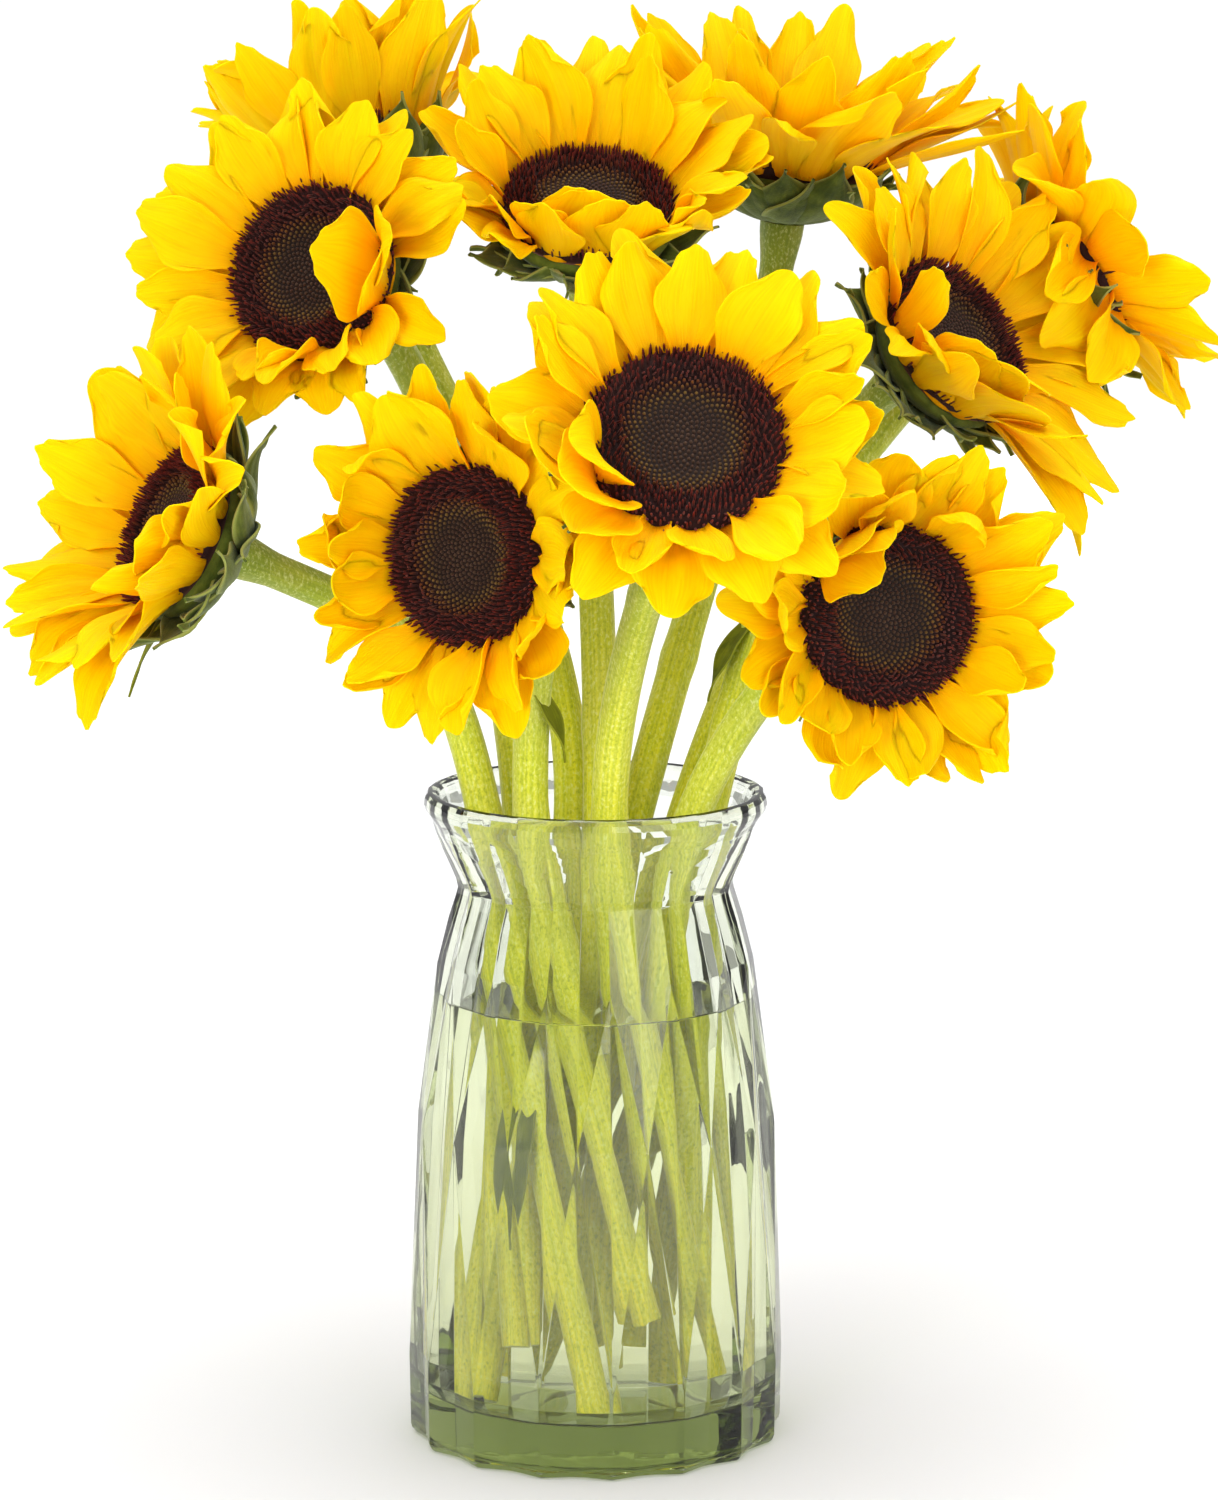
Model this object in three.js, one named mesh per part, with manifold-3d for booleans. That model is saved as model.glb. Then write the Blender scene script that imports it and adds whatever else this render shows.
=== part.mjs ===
// Ten cut sunflowers standing in a pressed-glass vase of water.
// Millimetres, +Z up, +X to the right, +Y to the back. The origin is the centre of the vase's underside.
import * as THREE from 'three';
import { mergeVertices } from 'three/addons/utils/BufferGeometryUtils.js';
import loadManifold from 'manifold-3d';

const manifold = await loadManifold();
manifold.setup();

// ---------------------------------------------------------------- driving dimensions
const GAP = 0.3;                  // clear space kept where two pieces meet
const SMALLEST_EDGE = 0.04;       // a cut leaves no edge shorter than this

const VASE_HEIGHT = 198;
const FLOOR_HEIGHT = 14;          // thick pressed foot
const WATER_HEIGHT = 135;
const NECK_HEIGHT = 169;
const FLUTES = 16;                // the cut pattern repeats this many times round
const RIDGE_TURN = 5.3;           // degrees from the front to the first ridge
const CUT_DEPTH = 0.9;            // how far a ridge stands out, and a valley goes in

const STEM_RADIUS = 5.6;
const STEM_SIDES = 8;
const STEM_FOOT = 16;             // height of the longest stems' cut ends
const STEM_TWIST = 85;            // degrees that the bunch turns between neck and foot
const FOOT_SPREAD = 1.22;         // the stems stand this much wider at the foot than at the neck

const DISC_THICKNESS = 8;
const CALYX_DEPTH = 20;           // from the disc's face to the back of the head
const STEM_BEND = [0.4, 0.3];     // shares of the way from neck to head that shape a stem's curve
const STEM_SETBACK = 2.4;         // the stem's slanted end starts this far behind the head
const BRACTS = 12;
const BRACT_REACH = 38;
const PETAL_LOBES = 18;
const NOTCH = 0.86;               // how far out the notch between two petals lies
const PETAL_THICKNESS = 3;

// The outer wall from the foot up: height, radius, and which ridges stand out there.
// 1 is the ridges at the flutes, -1 the ones halfway between them, 0 a round ring.
const OUTER_WALL = [
  [0, 53.4, 1],
  [2.5, 55.4, 1],
  [25, 55.4, 1],
  [98, 52.7, -1],
  [146, 46.4, 1],
  [164, 42, 0.9],
  [NECK_HEIGHT, 40.3, 0.9],
  [174, 42, 0.8],
  [180, 44.8, 0.7],
  [188, 48.6, 0.3],
  [191, 50.3, 0],
  [195, 51.2, 0],
  [VASE_HEIGHT, 49.6, 0],
];

// The smooth inner wall from the rim down: height, radius.
const INNER_WALL = [
  [VASE_HEIGHT, 47.6],
  [195, 46.2],
  [188, 44.8],
  [180, 41],
  [NECK_HEIGHT, 36.6],
  [146, 42.4],
  [98, 48.7],
  [25, 51.6],
  [FLOOR_HEIGHT + 3, 50.6],
  [FLOOR_HEIGHT, 46],
];

// One entry for each flower. centre is the middle of the disc's face, faces is its direction,
// reach is the petals' outer radius, cup is how far the tips stand forward of the disc, upright is
// how much further the upper ones do, neck is where the stem passes the vase's neck, foot is the
// height of its cut end, and bend sets how long it keeps its direction at the neck and at the head.
const FLOWERS = [
  { name: 'far_left', centre: [-124, -39, 283], faces: [-0.8, -0.42, 0.42],
    disc: 26, reach: 52, cup: 20, upright: 0, neck: [-29, -3], foot: STEM_FOOT, bend: [0.6, 0.55] },
  { name: 'upper_left', centre: [-84, -8, 354], faces: [-0.42, -0.85, 0.33],
    disc: 27, reach: 54, cup: 4, upright: 0, neck: [-22, 14], foot: 34 },
  { name: 'top', centre: [-2, 15, 373], faces: [0.03, -0.53, 0.85],
    disc: 27, reach: 53, cup: 14, upright: 8, neck: [1, 3], foot: 24 },
  { name: 'centre', centre: [25, -112, 318], faces: [0.05, -0.81, 0.59],
    disc: 29, reach: 56, cup: 6, upright: 5, neck: [6, -22], foot: 20 },
  { name: 'lower_left', centre: [-38, -68, 278], faces: [-0.55, -0.83, 0.08],
    disc: 27, reach: 52, cup: 10, upright: 0, neck: [-16, -17], foot: 42 },
  { name: 'lower_right', centre: [84, -68, 261], faces: [0.28, -0.95, 0.08],
    disc: 27, reach: 51, cup: 10, upright: 0, neck: [24, -15], foot: STEM_FOOT },
  { name: 'upper_right', centre: [108, 5, 333], faces: [0.66, -0.54, 0.53],
    disc: 27, reach: 57, cup: 6, upright: 4, neck: [29, 3], foot: 26 },
  { name: 'back_left', centre: [-75, 80, 386], faces: [-0.22, 0.32, 0.92],
    disc: 26, reach: 48, cup: 30, upright: 0, neck: [-9, 25], foot: STEM_FOOT },
  { name: 'back_right', centre: [60, 87, 382], faces: [0.1, -0.06, 0.99],
    disc: 27, reach: 58, cup: 32, upright: 0, neck: [8, 25], foot: 30 },
  { name: 'far_right', centre: [148, 79, 348], faces: [0.8, 0.28, 0.5],
    disc: 26, reach: 55, cup: 14, upright: 0, neck: [22, 18], foot: STEM_FOOT },
];

// Loose leaves: base point, tip point, width.
const LEAVES = [
  { name: 'leaf_far_left', base: [-115, -22, 251], tip: [-136, -29, 234], width: 11 },
  { name: 'leaf_left', base: [-21, -20, 236], tip: [-8, -27, 212], width: 8 },
  { name: 'leaf_right', base: [46, 8, 247], tip: [33, -2, 226], width: 8 },
  { name: 'leaf_in_water', base: [-18.5, -20.5, 106], tip: [-23, -29, 66], width: 12 },
];

// ---------------------------------------------------------------- finishes
const finish = (color, roughness, extra = {}) =>
  new THREE.MeshStandardMaterial({ color, roughness, metalness: 0, ...extra });

const FINISH = {
  glass: finish(0xcfe3d6, 0.05, { transparent: true, opacity: 0.35 }),
  water: finish(0xe6f2e8, 0.02, { transparent: true, opacity: 0.25 }),
  petal: finish(0xffc60a, 0.55),
  disc: finish(0x2e1210, 0.85),
  calyx: finish(0x4c6b2a, 0.8),
  stem: finish(0xa9bd55, 0.6),
  leaf: finish(0x47692c, 0.7),
};

// ---------------------------------------------------------------- shape helpers
const lerp = THREE.MathUtils.lerp;

function toSolid(geometry) {
  const bare = geometry.clone();
  bare.deleteAttribute('normal');
  bare.deleteAttribute('uv');
  const merged = mergeVertices(bare, 1e-4);
  return new manifold.Manifold(new manifold.Mesh({
    numProp: 3,
    vertProperties: new Float32Array(merged.attributes.position.array),
    triVerts: new Uint32Array(merged.index.array),
  }));
}

function toGeometry(solid) {
  const mesh = solid.getMesh();
  const geometry = new THREE.BufferGeometry();
  geometry.setAttribute('position', new THREE.BufferAttribute(mesh.vertProperties, 3));
  geometry.setIndex(new THREE.BufferAttribute(mesh.triVerts, 1));
  geometry.computeVertexNormals();
  return geometry;
}

// A body turned about Z. Each row of the profile is placed at every step by pointAt(row, step).
// A profile whose ends have radius 0 closes on the axis, and any other closes on itself as a ring.
function turned(profile, steps, pointAt) {
  const rows = profile.map((row, index) => {
    const isPole = row[0] === 0 && (index === 0 || index === profile.length - 1);
    return { row, count: isPole ? 1 : steps };
  });
  const positions = [];
  const starts = [];
  for (const { row, count } of rows) {
    starts.push(positions.length / 3);
    for (let step = 0; step < count; step += 1) {
      positions.push(...pointAt(row, step));
    }
  }
  const vertex = (r, step) => starts[r] + (rows[r].count === 1 ? 0 : step % steps);
  const faces = [];
  const isRing = rows[0].count > 1;
  const bands = isRing ? rows.length : rows.length - 1;
  for (let r = 0; r < bands; r += 1) {
    const next = (r + 1) % rows.length;
    for (let step = 0; step < steps; step += 1) {
      const corners = [vertex(r, step), vertex(r, step + 1), vertex(next, step + 1), vertex(next, step)];
      if (rows[r].count > 1) {
        faces.push(corners[0], corners[1], corners[2]);
      }
      if (rows[next].count > 1) {
        faces.push(corners[0], corners[2], corners[3]);
      }
    }
  }
  const geometry = new THREE.BufferGeometry();
  geometry.setAttribute('position', new THREE.Float32BufferAttribute(positions, 3));
  geometry.setIndex(faces);
  return geometry;
}

// A point at a radius and height, turned from the front (-Y) towards the right (+X).
function around(radius, height, turn) {
  return [radius * Math.sin(turn), -radius * Math.cos(turn), height];
}

// Where a height falls in a list of rows, as a radius.
function radiusAt(rows, height) {
  for (let i = 1; i < rows.length; i += 1) {
    const [low, high] = [rows[i], rows[i - 1]].sort((a, b) => a[0] - b[0]);
    if (height >= low[0] && height <= high[0]) {
      return lerp(low[1], high[1], (height - low[0]) / (high[0] - low[0]));
    }
  }
  throw new Error(`no row at height ${height}`);
}

// ---------------------------------------------------------------- vase and water
const VASE_STEPS = FLUTES * 2;
const vaseTurn = (step) => THREE.MathUtils.degToRad(RIDGE_TURN) + (step * Math.PI) / FLUTES;

function makeVase() {
  const outer = OUTER_WALL.map(([height, radius, ridge]) => [radius, height, ridge]);
  const inner = INNER_WALL.map(([height, radius]) => [radius, height, 0]);
  const profile = [[0, 0, 0], ...outer, ...inner, [0, FLOOR_HEIGHT, 0]];
  return turned(profile, VASE_STEPS, ([radius, height, ridge], step) => {
    const side = step % 2 === 0 ? 1 : -1;
    return around(radius + side * ridge * CUT_DEPTH, height, vaseTurn(step));
  });
}

function makeWater() {
  const wet = INNER_WALL.filter(([height]) => height < WATER_HEIGHT).reverse();
  const wall = wet.map(([height, radius]) => [radius - GAP * 1.5, height + GAP * 1.5]);
  const top = radiusAt(INNER_WALL, WATER_HEIGHT) - GAP * 1.5;
  const profile = [[0, FLOOR_HEIGHT + GAP * 1.5], ...wall, [top, WATER_HEIGHT], [0, WATER_HEIGHT]];
  return turned(profile, VASE_STEPS, ([radius, height], step) => around(radius, height, vaseTurn(step)));
}

// ---------------------------------------------------------------- one flower
// The head is built with the disc's face at z = 0, looking along +Z, and its upper side towards +Y.
function headMatrix({ centre, faces }) {
  const forward = new THREE.Vector3(...faces).normalize();
  const side = new THREE.Vector3().crossVectors(new THREE.Vector3(0, 0, 1), forward).normalize();
  const upper = new THREE.Vector3().crossVectors(forward, side);
  const matrix = new THREE.Matrix4().makeBasis(side, upper, forward);
  return matrix.setPosition(...centre);
}

function makeDisc({ disc }, grow) {
  const profile = [
    [0, -DISC_THICKNESS - grow],
    [disc - 4 + grow, -DISC_THICKNESS - grow],
    [disc + grow, -3],
    [disc - 1 + grow, 0.5 + grow],
    [disc * 0.62, -0.6 + grow],
    [0, -0.2 + grow],
  ];
  const steps = 20;
  return turned(profile, steps, ([radius, height], step) =>
    around(radius, height, (step * Math.PI * 2) / steps));
}

function makeCalyx({ disc }, grow) {
  const back = -CALYX_DEPTH;
  const profile = [
    [0, back - grow],
    [STEM_RADIUS + 2 + grow, back - grow],
    [disc * 0.75 + grow, back + 5 - grow],
    [disc + 4 + grow, -12 - grow],
    [BRACT_REACH + grow, -8.5 - grow],
    [BRACT_REACH + grow, -7.2 + grow],
    [disc + grow, -DISC_THICKNESS - GAP * 2 + grow],
    [0, -DISC_THICKNESS - GAP * 2 + grow],
  ];
  const steps = BRACTS * 2;
  return turned(profile, steps, ([radius, height], step) => {
    const isTip = radius > BRACT_REACH - 1;
    const notch = isTip && step % 2 === 1 ? 0.82 : 1;
    return around(radius * notch, height, (step * Math.PI * 2) / steps);
  });
}

// The ray petals of a head, as one lobed ring that is closed on itself.
function makePetals({ disc, reach, cup, upright }, grow) {
  const inner = disc + GAP * 2 - grow;
  const middle = lerp(disc, reach, 0.55);
  const spare = grow * 2.5;       // a steep ring needs more than its gap along Z
  const half = PETAL_THICKNESS / 2 + spare;
  const tip = PETAL_THICKNESS / 3 + spare;
  const profile = [
    [inner, -4 - half, 0],
    [middle, -half, 0.45],
    [reach + grow, -tip, 1],
    [reach + grow, tip, 1],
    [middle, half, 0.45],
    [inner, -4 + half, 0],
  ];
  const steps = PETAL_LOBES * 2;
  return turned(profile, steps, ([radius, height, along], step) => {
    const turn = (step * Math.PI * 2) / steps;
    const notch = along === 1 && step % 2 === 1 ? NOTCH : 1;
    const forward = cup - upright * Math.cos(turn);
    return around(radius * notch, height + forward * along, turn);
  });
}

// The stem runs straight from its foot to the vase's neck, then curves out to the back of the head.
function stemPath({ centre, faces, neck, foot, bend: [rise, arch] = STEM_BEND }) {
  const forward = new THREE.Vector3(...faces).normalize();
  const atNeck = new THREE.Vector3(neck[0], neck[1], NECK_HEIGHT);
  const fullFoot = atNeck.clone().setZ(0)
    .applyAxisAngle(new THREE.Vector3(0, 0, 1), THREE.MathUtils.degToRad(STEM_TWIST))
    .multiplyScalar(FOOT_SPREAD)
    .setZ(STEM_FOOT);
  const lean = (NECK_HEIGHT - foot) / (NECK_HEIGHT - STEM_FOOT);
  const atFoot = atNeck.clone().lerp(fullFoot, lean);
  const atHead = new THREE.Vector3(...centre).addScaledVector(forward, -CALYX_DEPTH - STEM_SETBACK);
  const climb = atNeck.clone().sub(atFoot).normalize();
  const reach = atHead.distanceTo(atNeck);
  const curve = new THREE.CubicBezierCurve3(
    atNeck,
    atNeck.clone().addScaledVector(climb, reach * rise),
    atHead.clone().addScaledVector(forward, -reach * arch),
    atHead,
  );
  const path = new THREE.CurvePath();
  path.add(new THREE.LineCurve3(atFoot, atNeck));
  path.add(curve);
  return path;
}

function makeStem(flower, grow) {
  const section = new THREE.Shape();
  for (let side = 0; side < STEM_SIDES; side += 1) {
    const turn = (side * Math.PI * 2) / STEM_SIDES;
    const radius = STEM_RADIUS + grow * 1.1;
    const place = [radius * Math.cos(turn), radius * Math.sin(turn)];
    if (side === 0) {
      section.moveTo(...place);
    } else {
      section.lineTo(...place);
    }
  }
  section.closePath();
  return new THREE.ExtrudeGeometry(section, {
    steps: 18,
    extrudePath: new THREE.CatmullRomCurve3(stemPath(flower).getSpacedPoints(18)),
  });
}

// ---------------------------------------------------------------- leaves
function makeLeaf({ base, tip, width }, grow) {
  const start = new THREE.Vector3(...base);
  const along = new THREE.Vector3(...tip).sub(start);
  const length = along.length();
  const steps = 6;
  const profile = [[0, -grow], [0.6, length * 0.25], [1, length * 0.5], [0.6, length * 0.8], [0, length + grow]];
  const geometry = turned(profile, steps, ([swell, height], step) => {
    const turn = (step * Math.PI * 2) / steps;
    const [x, y] = around(swell, height, turn);
    return [x * (width / 2 + grow), y * (0.9 + grow), height];
  });
  const matrix = new THREE.Matrix4().lookAt(new THREE.Vector3(), along.clone().negate(), new THREE.Vector3(0, 1, 0));
  return geometry.applyMatrix4(matrix.setPosition(start));
}

// ---------------------------------------------------------------- assembly
const bouquet = new THREE.Group();
bouquet.name = 'sunflowers_in_vase';

// Every solid that later pieces have to keep clear of, each already grown by the gap.
const taken = [];

// Cuts a piece by what stands in its way, keeps its largest body, and claims its place.
function place(name, make, material, parent = bouquet, keepClear = true) {
  const whole = toSolid(make(0));
  const cut = taken.length > 0 ? whole.subtract(manifold.Manifold.union(taken)) : whole;
  const largest = cut.decompose().sort((a, b) => b.volume() - a.volume())[0].simplify(SMALLEST_EDGE);
  if (keepClear) {
    taken.push(toSolid(make(GAP)));
  }
  const mesh = new THREE.Mesh(toGeometry(largest), material);
  mesh.name = name;
  mesh.geometry.applyMatrix4(parent.matrixWorld.clone().invert());
  parent.add(mesh);
}

const heads = new Map();
for (const flower of FLOWERS) {
  const head = new THREE.Group();
  head.name = `${flower.name}_flower`;
  head.applyMatrix4(headMatrix(flower));
  head.updateMatrixWorld(true);
  bouquet.add(head);
  heads.set(flower, head);
}

const inHead = (make, flower) => (grow) => make(flower, grow).applyMatrix4(heads.get(flower).matrixWorld);

for (const flower of FLOWERS) {
  place(`${flower.name}_stem`, (grow) => makeStem(flower, grow), FINISH.stem, heads.get(flower));
}
for (const flower of FLOWERS) {
  place(`${flower.name}_disc`, inHead(makeDisc, flower), FINISH.disc, heads.get(flower));
}
for (const flower of FLOWERS) {
  place(`${flower.name}_calyx`, inHead(makeCalyx, flower), FINISH.calyx, heads.get(flower));
}
for (const flower of FLOWERS) {
  place(`${flower.name}_petals`, inHead(makePetals, flower), FINISH.petal, heads.get(flower));
}
for (const leaf of LEAVES) {
  place(leaf.name, (grow) => makeLeaf(leaf, grow), FINISH.leaf);
}
place('water', makeWater, FINISH.water, bouquet, false);
const vase = new THREE.Mesh(makeVase(), FINISH.glass);
vase.name = 'vase';
vase.geometry.computeVertexNormals();
bouquet.add(vase);

export default bouquet;
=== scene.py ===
# %% [markdown]
# # Ten sunflowers in a pressed-glass vase
#
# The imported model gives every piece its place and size: the vase, the water, and a stem, a disc,
# a ring of petals and a calyx for each of ten flowers. Those solids are plain. Here each of them is
# given the shape and finish of the real thing: petals that curl and crease, discs full of florets,
# hairy bracts and stems, and glass with crossing ridges.
#
# Lengths are in metres. The small unit `MM` keeps sizes readable.

# %% Load the frame
import math
import random

import bpy
import bmesh
import numpy as np
from mathutils import Matrix, Vector


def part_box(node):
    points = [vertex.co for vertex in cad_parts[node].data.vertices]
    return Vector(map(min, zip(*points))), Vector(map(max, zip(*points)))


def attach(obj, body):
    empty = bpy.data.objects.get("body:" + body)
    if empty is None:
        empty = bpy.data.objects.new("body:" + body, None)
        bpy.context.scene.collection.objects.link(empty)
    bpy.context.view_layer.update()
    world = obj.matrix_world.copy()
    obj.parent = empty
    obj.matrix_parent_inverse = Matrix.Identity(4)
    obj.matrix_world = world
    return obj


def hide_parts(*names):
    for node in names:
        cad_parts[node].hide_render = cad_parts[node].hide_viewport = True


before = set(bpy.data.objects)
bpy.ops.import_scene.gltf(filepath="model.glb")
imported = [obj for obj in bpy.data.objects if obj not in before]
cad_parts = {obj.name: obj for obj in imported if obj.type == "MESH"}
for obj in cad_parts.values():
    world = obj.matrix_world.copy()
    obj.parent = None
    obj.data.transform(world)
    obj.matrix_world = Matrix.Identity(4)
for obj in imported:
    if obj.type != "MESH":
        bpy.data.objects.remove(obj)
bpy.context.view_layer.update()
MM = 0.001

# %% [markdown]
# ## Camera
#
# The camera looks slightly down on the bouquet from more than a metre and a half away with a long
# lens, so the vase's sides stay nearly upright and the mouth shows as a thin ellipse.

# %% Camera
camera_data = bpy.data.cameras.new("camera")
camera_data.lens = 135.6
camera_data.clip_end = 100
camera = bpy.data.objects.new("camera", camera_data)
camera.location = (0.004, -1.66, 0.5085)
camera.rotation_euler = (math.radians(90 - 10.2), 0, 0)
bpy.context.scene.collection.objects.link(camera)
bpy.context.scene.camera = camera
print("camera at", tuple(camera.location))

# %% [markdown]
# ## Stage and light
#
# A pale floor runs out past the view, so it is also the background. Most light comes from a white
# sky that is brightest straight overhead, so that the bouquet leaves a soft shadow round the vase.
# Three large lamps low at the left front, the right front and the back fill in the petals. Glass
# mirrors only one of them, which keeps its facets calm.

# %% Floor
FLOOR_RADIUS = 22
bpy.ops.mesh.primitive_circle_add(vertices=96, radius=FLOOR_RADIUS, fill_type="NGON", location=(0, 0, 0))
floor = bpy.context.object
floor.name = "floor"

floor_material = bpy.data.materials.new("pale_floor")
floor_material.use_nodes = True
floor_shader = floor_material.node_tree.nodes["Principled BSDF"]
floor_shader.inputs["Base Color"].default_value = (0.83, 0.83, 0.84, 1)
floor_shader.inputs["Roughness"].default_value = 0.9
floor_shader.inputs["Specular IOR Level"].default_value = 0.1
floor.data.materials.append(floor_material)
print("floor radius", FLOOR_RADIUS)

# %% Sky
SKY_STRENGTH = 4.4
GREY_BY_HEIGHT = ((0.0, 0.11), (0.82, 0.17), (1.0, 1.0))      # from the horizon to straight overhead
GREY_BY_SIDE = ((0.64, 1.0), (0.95, 0.8))                     # from the middle out to either side
world = bpy.data.worlds.new("studio")
bpy.context.scene.world = world
world.use_nodes = True
sky = world.node_tree
sky_light = sky.nodes["Background"]
sky_place = sky.nodes.new("ShaderNodeTexCoord")
sky_parts = sky.nodes.new("ShaderNodeSeparateXYZ")
sky_ramp = sky.nodes.new("ShaderNodeValToRGB")
side_ramp = sky.nodes.new("ShaderNodeValToRGB")
sideways = sky.nodes.new("ShaderNodeMath")
sideways.operation = "ABSOLUTE"
both = sky.nodes.new("ShaderNodeMix")
both.data_type = "RGBA"
both.blend_type = "MULTIPLY"
both.inputs[0].default_value = 1.0
sky.links.new(sky_place.outputs["Generated"], sky_parts.inputs["Vector"])
sky.links.new(sky_parts.outputs["Z"], sky_ramp.inputs["Fac"])
sky.links.new(sky_parts.outputs["X"], sideways.inputs[0])
sky.links.new(sideways.outputs[0], side_ramp.inputs["Fac"])
sky.links.new(sky_ramp.outputs["Color"], both.inputs[6])
sky.links.new(side_ramp.outputs["Color"], both.inputs[7])
sky.links.new(both.outputs[2], sky_light.inputs["Color"])
sky_ramp.color_ramp.elements.new(0.5)
for ramp, stops in ((sky_ramp, GREY_BY_HEIGHT), (side_ramp, GREY_BY_SIDE)):
    for element, (position, grey) in zip(ramp.color_ramp.elements, stops):
        element.position = position
        element.color = (grey, grey, grey, 1)
sky_light.inputs["Strength"].default_value = SKY_STRENGTH
print("sky strength", SKY_STRENGTH)


# %% Lamps
def add_lamp(name, place, size, power, mirrored):
    """A large square lamp that looks at the bouquet. Glass only mirrors it where that is asked for."""
    lamp_data = bpy.data.lights.new(name, "AREA")
    lamp_data.shape = "SQUARE"
    lamp_data.size = size
    lamp_data.energy = power
    lamp = bpy.data.objects.new(name, lamp_data)
    lamp.location = place
    lamp.visible_glossy = mirrored
    lamp.visible_transmission = False
    towards = Vector((0, 0, 0.3)) - Vector(place)
    lamp.rotation_euler = towards.to_track_quat("-Z", "Y").to_euler()
    bpy.context.scene.collection.objects.link(lamp)
    return lamp


add_lamp("key", (-1.1, -2.2, 0.55), 0.9, 29, False)
add_lamp("fill", (1.2, -2.1, 0.4), 1.6, 24, True)
add_lamp("back", (0.4, 2.3, 0.5), 1.0, 9, False)
bpy.context.scene.view_settings.view_transform = "Standard"
bpy.context.scene.view_settings.look = "None"
print("lamps: key, fill, back")

# %% [markdown]
# ## Working by hand, in code
#
# Each new piece starts from a primitive and is shaped in edit mode. An operator acts on all that is
# selected, and the loaded model is selected, so everything is let go first.

# %% Helpers for modelling


def let_go():
    """Back to object mode with nothing selected."""
    if bpy.context.object and bpy.context.object.mode != "OBJECT":
        bpy.ops.object.mode_set(mode="OBJECT")
    bpy.ops.object.select_all(action="DESELECT")


def pick(piece):
    """Only this piece is selected, and it is the active one."""
    let_go()
    piece.select_set(True)
    bpy.context.view_layer.objects.active = piece


def settle(piece):
    """The piece's place goes into its mesh, so that its object sits at the origin."""
    pick(piece)
    bpy.ops.object.transform_apply(location=True, rotation=True, scale=True)


def join_into(piece, other, name):
    """The other piece becomes part of this one, which takes a new name."""
    pick(piece)
    other.select_set(True)
    bpy.ops.object.join()
    piece.name = name
    return piece


def apply_modifiers(piece):
    pick(piece)
    for name in [modifier.name for modifier in piece.modifiers]:
        bpy.ops.object.modifier_apply(modifier=name)


def raise_round(name, sides, rows):
    """A closed round solid. The first (radius, height) in mm is a filled circle, extruded to the rest."""
    radius, height = rows[0]
    bpy.ops.mesh.primitive_circle_add(
        vertices=sides, radius=radius * MM, fill_type="NGON", location=(0, 0, height * MM))
    solid = bpy.context.object
    solid.name = name
    settle(solid)
    bpy.ops.object.mode_set(mode="EDIT")
    bpy.ops.mesh.select_all(action="SELECT")
    for radius, height in rows[1:]:
        bpy.ops.mesh.extrude_region_move()
        mesh = bmesh.from_edit_mesh(solid.data)
        for vertex in [v for v in mesh.verts if v.select]:
            flat = Vector((vertex.co.x, vertex.co.y, 0)).normalized() * radius * MM
            vertex.co = (flat.x, flat.y, height * MM)
        bmesh.update_edit_mesh(solid.data)
    bpy.ops.mesh.poke()
    bpy.ops.mesh.select_all(action="SELECT")
    bpy.ops.mesh.normals_make_consistent(inside=False)
    bpy.ops.object.mode_set(mode="OBJECT")
    return solid


def mark(piece, place_on_map, tint):
    """Gives a piece a UV map from a function of its points, and one tint."""
    uv = piece.data.uv_layers.active or piece.data.uv_layers.new(name="UVMap")
    for loop in piece.data.loops:
        uv.data[loop.index].uv = place_on_map(piece.data.vertices[loop.vertex_index].co)
    tints = piece.data.attributes.new("tint", "FLOAT", "POINT")
    tints.data.foreach_set("value", [tint] * len(piece.data.vertices))


def stands_for(piece, nodes):
    """The piece rides with the bouquet and replaces these nodes."""
    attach(piece, "root")
    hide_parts(*nodes)
    print(f"{piece.name}: {len(piece.data.polygons)} faces")


let_go()

# %% [markdown]
# ## The vase
#
# Pressed glass is shaped by a mould, so its outside is cut with flat facets while its inside is
# smooth. Sixteen flutes run round it. The ridges stand out at the flutes near the foot, halfway
# between them at mid height, and at the flutes again at the shoulder, so their diagonals cross in
# long kites. It is raised here ring by ring from one circle: each ring is extruded upwards and sized,
# and then every second point of it is pushed out or in. The quads between the rings are not flat, and
# they are split along the ridge, which is the longer diagonal.

# %% Sizes of the vase
FLUTES = 16
RIDGE_TURN = math.radians(5.3)
CUT_DEPTH = 1.35 * MM
EDGE_WEAR = 0.35 * MM

# height, radius, and how far the ridges at the flutes stand out there (negative: the others do)
UNDERSIDE = [(1.2, 46.5, 0.2), (0.0, 48.5, 0.4)]
OUTER_WALL = [
    (0.0, 52.4, 1.3), (0.5, 53.8, 1.2), (2.2, 55.0, 1.1), (25, 55.5, 1.0), (98, 52.8, -1.0),
    (146, 46.4, 1.0), (160, 43.0, 0.9), (167.0, 40.8, 0.85), (169, 40.3, 0.85), (171.5, 40.9, 0.8),
    (175, 42.4, 0.75), (181, 45.3, 0.6), (186, 47.5, 0.35), (189, 48.7, 0.15), (190.6, 49.7, 0),
    (192.4, 50.9, 0), (194.4, 51.5, 0), (196.3, 51.2, 0), (197.6, 50.3, 0), (198, 49.1, 0),
]
INNER_WALL = [
    (197.6, 47.9, 0), (196.4, 46.9, 0), (194, 46.2, 0), (188, 44.8, 0), (180, 41.0, 0), (173, 37.9, 0),
    (169, 36.6, 0), (164, 37.6, 0), (146, 42.4, 0), (98, 48.7, 0), (60, 50.2, 0), (27, 51.0, 0),
    (20, 50.0, 0), (16, 47.0, 0), (14.2, 42.0, 0), (14.2, 30.0, 0), (15.2, 14.0, 0),
]


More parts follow.
